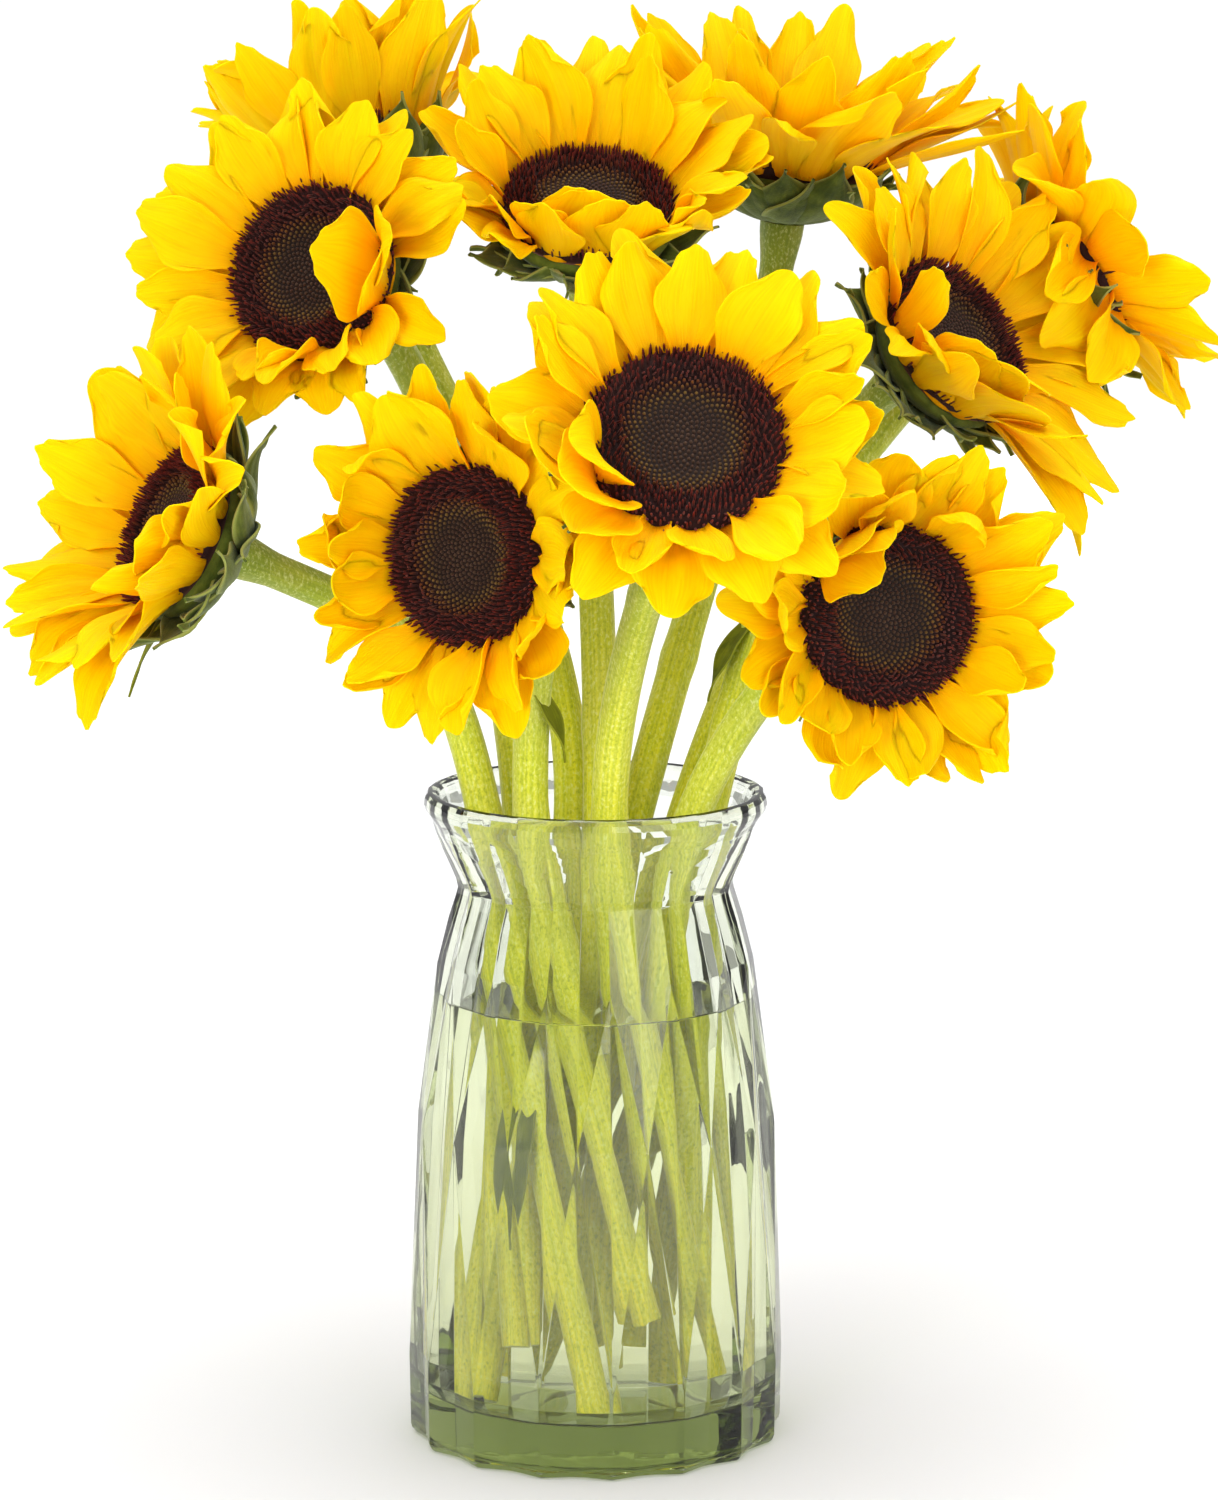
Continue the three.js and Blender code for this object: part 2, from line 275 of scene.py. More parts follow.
# %% Raise a ring-by-ring shell
def raise_ring(height, radius, cut):
    """Extrudes the selected ring to a new height and size, and pushes its points out and in."""
    bpy.ops.mesh.extrude_edges_move()
    mesh = bmesh.from_edit_mesh(bpy.context.object.data)
    for vertex in [v for v in mesh.verts if v.select]:
        turn = math.atan2(vertex.co.x, -vertex.co.y)
        step = round((turn - RIDGE_TURN) / (math.pi / FLUTES))
        side = 1 if step % 2 == 0 else -1
        reach = radius * MM + side * cut * CUT_DEPTH
        vertex.co = (reach * math.sin(turn), -reach * math.cos(turn), height * MM)
    bmesh.update_edit_mesh(bpy.context.object.data)


def make_vase():
    bpy.ops.mesh.primitive_circle_add(
        vertices=FLUTES * 2, radius=40 * MM, fill_type="NOTHING", location=(0, 0, 1.5 * MM),
        rotation=(0, 0, RIDGE_TURN))
    vase = bpy.context.object
    vase.name = "glass_vase"
    settle(vase)
    bpy.ops.object.mode_set(mode="EDIT")
    bpy.ops.mesh.select_all(action="SELECT")
    for row in UNDERSIDE + OUTER_WALL + INNER_WALL:
        raise_ring(*row)
    bpy.ops.mesh.edge_face_add()
    bpy.ops.mesh.poke()
    bpy.ops.mesh.select_all(action="DESELECT")
    mesh = bmesh.from_edit_mesh(vase.data)
    for edge in mesh.edges:
        edge.select = edge.is_boundary
    bpy.ops.mesh.edge_face_add()
    bpy.ops.mesh.poke()
    bpy.ops.mesh.select_all(action="SELECT")
    bpy.ops.mesh.quads_convert_to_tris(quad_method="LONGEST_DIAGONAL")
    bpy.ops.mesh.normals_make_consistent(inside=False)
    bpy.ops.object.mode_set(mode="OBJECT")
    worn = vase.modifiers.new("worn_edges", "BEVEL")
    worn.width = EDGE_WEAR
    worn.segments = 2
    worn.angle_limit = math.radians(5)
    apply_modifiers(vase)
    bpy.ops.object.shade_smooth_by_angle(angle=math.radians(13))
    return vase


vase = make_vase()
stands_for(vase, ["vase"])

# %% [markdown]
# ## Water
#
# Where water wets glass there is no air between them, so the water's wall reaches a hair into the
# glass. Its top is flat and climbs the wall in a thin meniscus, the dark line round the vase.

# %% Water
WATER_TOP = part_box("water")[1].z / MM
WETTING = 0.15          # how far the water reaches into the glass, in mm


def inner_radius(height):
    rows = sorted(INNER_WALL)
    return float(np.interp(height, [row[0] for row in rows[1:]], [row[1] for row in rows[1:]]))


def make_water():
    brim = inner_radius(WATER_TOP) + WETTING
    low = [(8, 15), (30, 14.1), (42, 14.1), (47.2, 15.9), (50.0 + WETTING, 20), (51.0 + WETTING, 27)]
    wall = [(50.2 + WETTING, 60), (48.7 + WETTING, 98), (brim - 0.1, WATER_TOP + 0.9)]
    meniscus = [(brim - 0.6, WATER_TOP + 0.9), (brim - 1.2, WATER_TOP + 0.25), (brim - 2.4, WATER_TOP)]
    water = raise_round("water_body", 96, low + wall + meniscus + [(brim * 0.5, WATER_TOP)])
    bpy.ops.object.shade_smooth_by_angle(angle=math.radians(40))
    return water


water = make_water()
stands_for(water, ["water"])

# %% [markdown]
# ## Where each flower is
#
# The disc's solid tells where its head is: the middle of its face, the way it looks, and its radius.
# The petals' solid tells how far they reach, how far their tips stand forward of the face, and how
# much further the upper ones do. A head is made flat, looking along +Z with its upper side at +Y,
# and this matrix then takes it to its place.

# %% Measure a head
FLOWERS = ["far_left", "upper_left", "top", "centre", "lower_left", "lower_right", "upper_right",
           "back_left", "back_right", "far_right"]


def node_points(node):
    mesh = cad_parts[node].data
    points = np.empty(len(mesh.vertices) * 3)
    mesh.vertices.foreach_get("co", points)
    return np.unique(points.reshape(-1, 3).round(6), axis=0)


def measure_head(flower):
    disc = node_points(f"{flower}_disc")
    petals = node_points(f"{flower}_petals")
    calyx = node_points(f"{flower}_calyx")
    forward = np.linalg.svd(disc - disc.mean(0))[2][2]
    if forward @ (disc.mean(0) - calyx.mean(0)) < 0:
        forward = -forward
    side = np.cross((0, 0, 1), forward)
    side /= np.linalg.norm(side)
    upper = np.cross(forward, side)
    face = (disc @ forward).max() - 0.5 * MM
    rim = disc[abs(disc @ forward - face) < 1.2 * MM]
    centre = rim.mean(0)
    centre += forward * (face - centre @ forward)
    local = (petals - centre) @ np.stack([side, upper, forward]).T
    radius = np.hypot(local[:, 0], local[:, 1])
    tips = local[radius > 0.97 * radius.max()]
    place = Matrix([(*column, 0) for column in (side, upper, forward)] + [(0, 0, 0, 1)]).transposed()
    place.translation = Vector(centre)
    return {
        "place": place,
        "disc": np.hypot(*((disc - centre) @ np.stack([side, upper]).T).T).max() / MM,
        "reach": radius.max() / MM,
        "cup": tips[:, 2].mean() / MM,
        "upright": (tips[:, 2] * tips[:, 1]).sum() / (tips[:, 1] ** 2).sum() * radius.max() / MM,
    }


HEADS = {flower: measure_head(flower) for flower in FLOWERS}
for flower, head in HEADS.items():
    print(flower, {key: round(float(value), 1) for key, value in head.items() if key != "place"})

# %% [markdown]
# ## Blades
#
# A petal, a bract and a leaf are all blades: a thin sheet with an outline, a middle line that rises
# and curls, and a cross-section that rolls and pleats. One blank sheet is made from a grid, and every
# blade is a copy of it, bent to its own numbers. Lengths here are in millimetres.

# %% The blank sheet
CELLS_LONG = 20
CELLS_WIDE = 12


def make_blank(cells_long, cells_wide):
    """A flat grid from (0, -1) to (1, 1): how far along the blade a point is, and how far across."""
    bpy.ops.mesh.primitive_grid_add(
        x_subdivisions=cells_long, y_subdivisions=cells_wide, size=2, location=(0, 0, 0))
    blank = bpy.context.object
    points = np.array([vertex.co[:2] for vertex in blank.data.vertices])
    faces = np.array([list(polygon.vertices) for polygon in blank.data.polygons])
    bpy.data.objects.remove(blank)
    return 1 - (1 - (points[:, 0] + 1) / 2) ** 1.25, points[:, 1], faces


BLADE_ALONG, BLADE_ACROSS, BLADE_FACES = make_blank(CELLS_LONG, CELLS_WIDE)
print("blank:", len(BLADE_ALONG), "points")


# %% Bend one blade
def smooth_step(low, high, value):
    t = np.clip((value - low) / (high - low), 0, 1)
    return t * t * (3 - 2 * t)


def petal_outline(along):
    return (0.52 + 0.48 * smooth_step(0.0, 0.5, along)) * (1 - 0.42 * smooth_step(0.6, 1.02, along))


def bract_outline(along):
    broad = 0.7 + 0.3 * smooth_step(0, 0.26, along)
    return broad * (0.06 + 0.94 * (1 - smooth_step(0.44, 0.98, along))) * (1 - along ** 7)


def bend_blade(length, width, outline, rise, start, roll=(0, 0), pleat=0.0, ruffle=(0.0, 2.0, 0.0),
               sway=0.0, twist=0.0, end=(0.0, 0.0, 0.0)):
    """Points of one blade that grows outwards along +X from start (radius, height).

    rise is the middle line's angle above the face at the base, the middle and the tip, in degrees.
    roll is how far the edges turn forwards at the base and the tip, in degrees.
    pleat is how deep the long folds are, as a share of the half width.
    ruffle is how far the edges wave, how many waves there are, and where they start.
    sway carries the tip sideways, as a share of the length, and twist turns it, in degrees.
    end is how round the end is, how deep its small teeth are, and where they fall.
    """
    fine = np.linspace(0, 1, 73)
    angle = np.radians(np.interp(fine, (0, 0.5, 1), rise))
    angle = np.convolve(np.pad(angle, 8, mode="edge"), np.ones(17) / 17, "valid")
    step = length / 72
    run = start[0] + np.concatenate([[0], np.cumsum(np.cos(angle[1:]) * step)])
    lift = start[1] + np.concatenate([[0], np.cumsum(np.sin(angle[1:]) * step)])
    a = BLADE_ALONG
    b = BLADE_ACROSS
    blunt, teeth, shift = end
    place = a - (blunt * abs(b) ** 2.5 + teeth * (1 - np.cos(2.6 * np.pi * b + shift))) * a ** 3
    r = np.interp(place, fine, run)
    z = np.interp(place, fine, lift)
    phi = np.interp(place, fine, angle)
    half = width / 2 * np.maximum(outline(a), 0.015)
    turn = np.radians(roll[0] * (1 - a) + roll[1] * a)
    turn = np.where(abs(turn) < 1e-3, 1e-3, turn)
    y = half * np.sin(turn * b) / turn
    n = half * (1 - np.cos(turn * b)) / turn
    amount, waves, phase = ruffle
    folds = np.cos(2 * np.pi * b + phase) + 0.6 * np.cos(3.6 * np.pi * b + 2 * phase)
    n = n + pleat * half * folds * np.sin(np.pi * np.clip(a * 0.85 + 0.1, 0, 1))
    wave = np.sin(2 * np.pi * waves * a + phase + 1.7 * (b > 0))
    n = n + amount * b ** 2 * wave * smooth_step(0.1, 0.5, a)
    spin = np.radians(twist) * a
    y, n = y * np.cos(spin) - n * np.sin(spin), y * np.sin(spin) + n * np.cos(spin)
    y = y + sway * length * a ** 2
    return np.stack([r - n * np.sin(phi), y, z + n * np.cos(phi)], axis=1)


def turn_about_axis(points, clock):
    """Turns points about the head's axis. 0 is to the right seen from the front, and 90 is up."""
    angle = math.radians(clock)
    turned = points.copy()
    turned[:, 0] = points[:, 0] * math.cos(angle) - points[:, 1] * math.sin(angle)
    turned[:, 1] = points[:, 0] * math.sin(angle) + points[:, 1] * math.cos(angle)
    return turned


# %% Join many copies into one piece
def join_copies(name, parts, faces, along, across, place=None):
    """One mesh from copies of one blank. Each part is (points in mm, tint)."""
    count = len(along)
    points = np.concatenate([part[0] for part in parts]) * MM
    all_faces = np.concatenate([faces + index * count for index in range(len(parts))])
    mesh = bpy.data.meshes.new(name)
    mesh.from_pydata(points.tolist(), [], all_faces.tolist())
    corners = all_faces.ravel() % count
    uv = mesh.uv_layers.new(name="UVMap")
    uv.data.foreach_set("uv", np.stack([along[corners], across[corners] * 0.5 + 0.5], 1).ravel())
    tint = mesh.attributes.new("tint", "FLOAT", "POINT")
    tint.data.foreach_set("value", np.repeat([part[1] for part in parts], count))
    if place is not None:
        mesh.transform(place)
    piece = bpy.data.objects.new(name, mesh)
    bpy.context.scene.collection.objects.link(piece)
    return piece


def thicken(piece, thickness):
    """Gives a sheet two faces and an edge, so that it is a closed solid."""
    wall = piece.modifiers.new("wall", "SOLIDIFY")
    wall.thickness = thickness
    wall.offset = 0
    apply_modifiers(piece)
    bpy.ops.object.shade_smooth_by_angle(angle=math.radians(60))


# %% [markdown]
# ## Ray petals
#
# A head has two rings of petals that overlap like tiles. They leave the rim of the disc under its
# florets, rise, and spread. `PETAL_STYLE` says how each head wears them, and `UNRULY` names the
# places where some leave the ring: they fold over the disc, curl more, grow longer or hang back.

# %% How each head wears its petals
# petals in a ring, how far tips curl forwards, how much that varies, width, share of length at the bottom
PETAL_STYLE = {
    "far_left": (16, -6, 26, 20.5, 1.05),
    "upper_left": (16, -10, 26, 21, 0.9),
    "top": (16, -4, 24, 21, 0.9),
    "centre": (15, -8, 28, 22.5, 1.04),
    "lower_left": (17, 22, 36, 19.5, 1.02),
    "lower_right": (17, 14, 36, 19.5, 1.0),
    "upper_right": (16, -8, 24, 21, 1.4),
    "back_left": (16, -10, 22, 20.5, 1.0),
    "back_right": (16, -12, 24, 22, 1.0),
    "far_right": (16, -12, 24, 21, 1.0),
}

# clock angle and spread in degrees, extra rise at the base, extra curl, and extra length as a share
UNRULY = {
    "far_left": [(-14, 40, 6, 18, 0.0), (168, 50, -8, 0, 0.05), (-75, 30, -6, 0, 0.1)],
    "upper_left": [(2, 13, 84, 6, 0.3), (-72, 34, 46, -46, 0.0), (180, 60, 0, 0, 0.16)],
    "top": [(-96, 22, 84, 10, 0.05), (-140, 25, 25, 0, 0), (-50, 25, 25, 0, 0)],
    "centre": [(-152, 14, 62, -10, 0), (-176, 20, 18, 0, 0), (-60, 50, 12, 20, 0), (90, 80, 0, 0, 0.08)],
    "lower_left": [(10, 30, 10, -30, 0.3), (95, 50, 0, 0, 0.12), (-170, 30, 24, 20, 0)],
    "lower_right": [(128, 22, 62, -6, 0), (0, 50, 0, 0, 0.12)],
    "upper_right": [(-128, 34, 64, -10, -0.1), (172, 24, 34, -10, 0), (30, 40, 0, 0, 0.24),
                    (-50, 34, -10, 0, 0.1)],
    "far_right": [(172, 60, -22, 4, 0.1), (176, 40, -60, -20, 0)],
    "back_right": [(-149, 50, -4, 4, 0.0), (-85, 36, -20, 0, 0.06)],
    "back_left": [(53, 60, 2, 0, 0), (-37, 45, 0, 0, -0.12)],
}
FOLDED = 60             # petals that rise this much more fold over the disc, and are calm and broad
HUNG = -40              # petals that rise this much less hang back, and only outer ones do
PETAL_FOOT_INSET = 1.2
PETAL_FOOT_DEPTHS = (5.4, 3.2)
PETAL_THICKNESS = 0.42 * MM


# %% Petals of one head
def make_petals(flower):
    head = HEADS[flower]
    ring, curl, curl_spread, width, bottom = PETAL_STYLE[flower]
    rng = random.Random(flower)
    parts = []
    for whorl in range(2):
        for number in range(ring):
            clock = (number + 0.5 * whorl) * 360 / ring + rng.uniform(-4.5, 4.5)
            upness = math.sin(math.radians(clock))
            tip_height = head["cup"] + head["upright"] * upness
            flat = head["reach"] - head["disc"] + 1
            base_rise = math.degrees(math.atan2(tip_height + 4, flat))
            base_rise += (9 if whorl else -5) + rng.gauss(0, 5)
            tip_curl = curl + rng.gauss(0, curl_spread)
            share = 1 + (bottom - 1) * max(0.0, -upness)
            calm = 1.0
            broad = 1.0
            for middle, spread, rise, more_curl, more_length in UNRULY.get(flower, []):
                if rise < HUNG and whorl:
                    continue
                off = (clock - middle + 180) % 360 - 180
                near = math.exp(-(off / spread) ** 2)
                base_rise += rise * near
                tip_curl += more_curl * near
                share += more_length * near
                calm = min(calm, 1 - 0.75 * near * (rise > FOLDED))
                broad = max(broad, 1 + 0.55 * near ** 2 * (rise > FOLDED))
            length = math.hypot(flat, tip_height + 4) * share * rng.uniform(0.92, 1.08)
            length *= 0.97 if whorl else 1.03
            points = bend_blade(
                length=length,
                width=width * broad * rng.uniform(0.8, 1.14),
                outline=petal_outline,
                rise=(base_rise + 12, base_rise + tip_curl * 0.1, base_rise + tip_curl),
                start=(head["disc"] - PETAL_FOOT_INSET, -PETAL_FOOT_DEPTHS[whorl]),
                roll=(rng.uniform(20, 80), rng.gauss(12, 44) * calm),
                pleat=rng.uniform(0.02, 0.06) * calm,
                ruffle=(rng.uniform(0.3, 2.1) * calm, rng.uniform(0.6, 1.6), rng.uniform(0, 6.28)),
                sway=rng.gauss(0, 0.12) * calm,
                twist=rng.gauss(0, 20) * calm,
                end=(rng.uniform(0.16, 0.28), rng.uniform(0.0, 0.026), rng.uniform(-1.2, 1.2)),
            )
            parts.append((turn_about_axis(points, clock), rng.random()))
    petals = join_copies(f"petals_{flower}", parts, BLADE_FACES, BLADE_ALONG, BLADE_ACROSS, head["place"])
    thicken(petals, PETAL_THICKNESS)
    return petals


petal_pieces = {flower: make_petals(flower) for flower in FLOWERS}
for flower, petals in petal_pieces.items():
    stands_for(petals, [f"{flower}_petals"])

# %% [markdown]
# ## Discs
#
# A disc is packed with florets in the sunflower spiral: each next one is turned on by the golden
# angle and set a little further out. The inner ones are still closed buds, small dark grains in
# crossing spirals. Those in a belt round them are about to open and show olive-gold flecks. The
# outer ones stand open as dense maroon spikes. They sit on a shallow cushion.

# %% The cushion under the florets
GOLDEN_ANGLE = math.radians(137.508)
FLORETS = 1150
BUD_SHARE = 0.52          # buds fill this much of the radius
BELT_SHARE = 0.63         # and the belt of opening florets reaches this far
CUSHION_SHARES = (0.99, 0.96, 0.88, 0.76, 0.62, 0.48, 0.3, 0.14)


def cushion_height(share):
    """Height of the disc's cushion in mm, from its middle (0) to its rim (1)."""
    return -1.9 + 1.5 * smooth_step(0.35, 0.72, share) - 2.6 * smooth_step(0.86, 1.02, share)


def make_cushion(flower):
    disc = HEADS[flower]["disc"]
    rows = [(disc * share, float(cushion_height(share))) for share in CUSHION_SHARES]
    cushion = raise_round(f"cushion_{flower}", 48, [(disc * 0.9, -7)] + rows)
    bpy.ops.object.shade_smooth()
    # The cushion sits at height 0 on the map, so the disc finish gives it the near-black painted shade of
    # the florets' feet.
    mark(cushion, lambda point: (math.hypot(point.x, point.y) / (disc * MM), 0.0), 0.0)
    return cushion


# %% One floret, and a disc full of them
def make_floret_blank(sides):
    """A spike from radius 1 at height 0 to a point at height 1, with a belly half way up."""
    bpy.ops.mesh.primitive_cone_add(vertices=sides, radius1=1, radius2=0, depth=1, location=(0, 0, 0.5),
                                    end_fill_type="NGON")
    floret = bpy.context.object
    settle(floret)
    bpy.ops.object.mode_set(mode="EDIT")
    bpy.ops.mesh.select_all(action="SELECT")
    for height, swell in ((0.45, 1.55), (0.8, 2.2)):
        bpy.ops.mesh.select_all(action="SELECT")
        bpy.ops.mesh.bisect(plane_co=(0, 0, height), plane_no=(0, 0, 1))
        mesh = bmesh.from_edit_mesh(floret.data)
        for vertex in [v for v in mesh.verts if abs(v.co.z - height) < 1e-4]:
            vertex.co.x *= swell
            vertex.co.y *= swell
        bmesh.update_edit_mesh(floret.data)
    bpy.ops.object.mode_set(mode="OBJECT")
    points = np.array([vertex.co[:] for vertex in floret.data.vertices])
    faces = [list(polygon.vertices) for polygon in floret.data.polygons]
    bpy.data.objects.remove(floret)
    return points, faces


FLORET_POINTS, FLORET_FACES = make_floret_blank(5)
print("floret:", len(FLORET_FACES), "faces")


def make_florets(flower):
    head = HEADS[flower]
    rng = random.Random(f"florets {flower}")
    points = []
    faces = []
    shares = []
    tints = []
    for number in range(FLORETS):
        share = math.sqrt((number + 0.5) / FLORETS)
        angle = number * GOLDEN_ANGLE
        if share < BUD_SHARE:
            size, height, lean = 0.66, 1.05, 0.0
        elif share < BELT_SHARE:
            size, height, lean = 0.62, rng.uniform(1.2, 2.0), 4.0
        else:
            ring = (share - BELT_SHARE) / (1 - BELT_SHARE)
            size = rng.uniform(0.36, 0.5)
            height = rng.uniform(3.0, 5.2) * (1 - 0.15 * ring)
            lean = -8 + 32 * ring ** 2 + rng.gauss(0, 12)
        wobble = 0.0 if share < BUD_SHARE else rng.gauss(0, 0.12)
        radius = share * head["disc"] * 0.985
        tilt = Matrix.Rotation(angle + wobble, 3, "Z") @ Matrix.Rotation(math.radians(lean), 3, "Y")
        local = FLORET_POINTS * (size, size, height)
        local = local @ np.array(tilt).T
        local += (radius * math.cos(angle), radius * math.sin(angle), float(cushion_height(share)) - 0.35)
        base = len(points) * len(FLORET_POINTS)
        points.append(local)
        faces += [[index + base for index in face] for face in FLORET_FACES]
        shares += [share] * len(FLORET_POINTS)
        tints += [rng.random()] * len(FLORET_POINTS)
    mesh = bpy.data.meshes.new(f"florets_{flower}")
    mesh.from_pydata((np.concatenate(points) * MM).tolist(), [], faces)
    heights = np.tile(FLORET_POINTS[:, 2], FLORETS)
    corners = np.empty(len(mesh.loops), dtype=int)
    mesh.loops.foreach_get("vertex_index", corners)
    uv = mesh.uv_layers.new(name="UVMap")
    # The height on the map lets the disc finish paint shade at each floret's foot.
    uv.data.foreach_set("uv", np.stack([np.array(shares)[corners], heights[corners]], 1).ravel())
    mesh.attributes.new("tint", "FLOAT", "POINT").data.foreach_set("value", tints)
    florets = bpy.data.objects.new(f"florets_{flower}", mesh)
    bpy.context.scene.collection.objects.link(florets)
    pick(florets)
    bpy.ops.object.shade_smooth_by_angle(angle=math.radians(50))
    return florets


def make_disc(flower):
    cushion = make_cushion(flower)
    disc = join_into(make_florets(flower), cushion, f"disc_{flower}")
    disc.data.transform(HEADS[flower]["place"])
    return disc


disc_pieces = {flower: make_disc(flower) for flower in FLOWERS}
for flower, disc in disc_pieces.items():
    stands_for(disc, [f"{flower}_disc"])

# %% [markdown]
# ## Calyx
#
# Behind the petals is the receptacle, a green cushion that narrows to the stem. Two rings of broad,
# hairy bracts wrap round it and overlap, and their thin curling tips peep out between the petals.

# %% Receptacle
RECEPTACLE = [(5.4, -26), (6.0, -23.5), (6.6, -21.5), (9.5, -20), (15, -18.4), (20.5, -15.2), (24.5, -11.4),
              (26.2, -8.2), (25.4, -6.4)]          # radius and height in mm, from the stem to the rim


def make_receptacle(flower):
    receptacle = raise_round(f"receptacle_{flower}", 32, RECEPTACLE)
    bpy.ops.object.shade_smooth()
    mark(receptacle, lambda point: (0.1, 0.5), 0.3)
    receptacle.data.transform(HEADS[flower]["place"])
    return receptacle


# %% Bracts
BRACT_RING = 13
BRACT_STARTS = ((8.5, -21.4), (12.5, -20.2))        # radius and height of each ring's foot in mm
BRACT_BASE_RISES = (8, 16)
BRACT_SIZE = {"far_left": 1.12}         # share of the drawn length, where it differs from the rest
USUAL_BRACT_SIZE = 0.9
BRACT_THICKNESS = 0.7 * MM


def make_bracts(flower):
    head = HEADS[flower]
    rng = random.Random(f"bracts {flower}")
    parts = []
    for whorl in range(2):
        for number in range(BRACT_RING):
            clock = (number + 0.5 * whorl) * 360 / BRACT_RING + rng.uniform(-6, 6)
            upness = math.sin(math.radians(clock))
            tip_height = head["cup"] + head["upright"] * upness
            petal_rise = math.degrees(math.atan2(tip_height + 4, head["reach"] - head["disc"] + 1))
            under = petal_rise - 18
            tip = max(under, 20) + rng.gauss(12 if whorl else 2, 25)
            points = bend_blade(
                length=rng.uniform(31, 38) * BRACT_SIZE.get(flower, USUAL_BRACT_SIZE),
                width=rng.uniform(17, 22),
                outline=bract_outline,
                rise=(BRACT_BASE_RISES[whorl] + rng.uniform(-2, 2),
                      max(under + 14, 32) + rng.gauss(4, 4), tip),
                start=BRACT_STARTS[whorl],
                roll=(rng.uniform(30, 50), rng.uniform(-10, 60)),
                pleat=0.03,
                ruffle=(rng.uniform(0.4, 1.9), 1.5, rng.uniform(0, 6.28)),
                sway=rng.gauss(0, 0.1),
                twist=rng.gauss(0, 20),
            )
            parts.append((turn_about_axis(points, clock), rng.random()))
    bracts = join_copies(f"bracts_{flower}", parts, BLADE_FACES, BLADE_ALONG, BLADE_ACROSS, head["place"])
    thicken(bracts, BRACT_THICKNESS)
    return bracts


def make_calyx(flower):
    receptacle = make_receptacle(flower)
    return join_into(make_bracts(flower), receptacle, f"calyx_{flower}")


calyx_pieces = {flower: make_calyx(flower) for flower in FLOWERS}
for flower, calyx in calyx_pieces.items():
    stands_for(calyx, [f"{flower}_calyx"])

# %% [markdown]
# ## Stems
#
# A stem stands on the vase's floor or hangs a little above it, runs straight up through the neck,
# and then curves out and into the back of its head. The bunch is twisted, as when it is held in one
# hand and turned while stems are added. The real stem is not a smooth pipe: it has low ribs, swells
# at old leaf joints, and widens into the head.

# %% The middle line of a stem
NECK_HEIGHT = 169
STEM_TWIST = math.radians(85)
FOOT_SPREAD = 1.22
LOWEST_FOOT = 16
STEM_RADIUS = 5.6

# where each stem passes the neck (right, back), and the height of its cut foot, in mm
STEM_PLACES = {
    "far_left": (-29, -3, 16), "upper_left": (-22, 14, 34), "top": (1, 3, 24), "centre": (6, -22, 20),
    "lower_left": (-16, -17, 42), "lower_right": (24, -15, 16), "upper_right": (29, 3, 26),
    "back_left": (-9, 25, 16), "back_right": (8, 25, 30), "far_right": (22, 18, 16),
}

# how far a stem keeps its line above the neck, and how early it turns to its head, as shares of the way
STEM_BEND = {"far_left": (0.6, 0.55)}
USUAL_BEND = (0.4, 0.3)
HEAD_SETBACK = 22.4         # a stem ends this far behind its disc's face, inside the receptacle


def stem_line(flower, count):
    """Points in mm from the stem's foot to the back of its head, evenly spaced."""
    place = HEADS[flower]["place"]
    forward = np.array(place.to_3x3() @ Vector((0, 0, 1)))
    centre = np.array(place.translation) / MM
    neck_x, neck_y, foot_height = STEM_PLACES[flower]
    neck = np.array([neck_x, neck_y, NECK_HEIGHT], float)
    c, s = math.cos(STEM_TWIST), math.sin(STEM_TWIST)
    full_foot = np.array([(neck_x * c - neck_y * s) * FOOT_SPREAD, (neck_x * s + neck_y * c) * FOOT_SPREAD,
                          LOWEST_FOOT])
    lean = (NECK_HEIGHT - foot_height) / (NECK_HEIGHT - LOWEST_FOOT)
    foot = neck + (full_foot - neck) * lean
    head_end = centre - forward * HEAD_SETBACK
    climb = (neck - foot) / np.linalg.norm(neck - foot)
    reach = np.linalg.norm(head_end - neck)
    rise, arch = STEM_BEND.get(flower, USUAL_BEND)
    corners = [neck, neck + climb * reach * rise, head_end - forward * reach * arch, head_end]
    t = np.linspace(0, 1, 200)[:, None]
    curve = ((1 - t) ** 3 * corners[0] + 3 * t * (1 - t) ** 2 * corners[1]
             + 3 * t ** 2 * (1 - t) * corners[2] + t ** 3 * corners[3])
    line = np.concatenate([foot + (neck - foot) * np.linspace(0, 1, 100)[:-1, None], curve])
    along = np.concatenate([[0], np.cumsum(np.linalg.norm(np.diff(line, axis=0), axis=1))])
    even = np.linspace(0, along[-1], count)
    return np.stack([np.interp(even, along, line[:, axis]) for axis in range(3)], axis=1), along[-1]


# %% Wrap a tube round the line
STEM_SIDES = 24
STEM_RINGS = 110


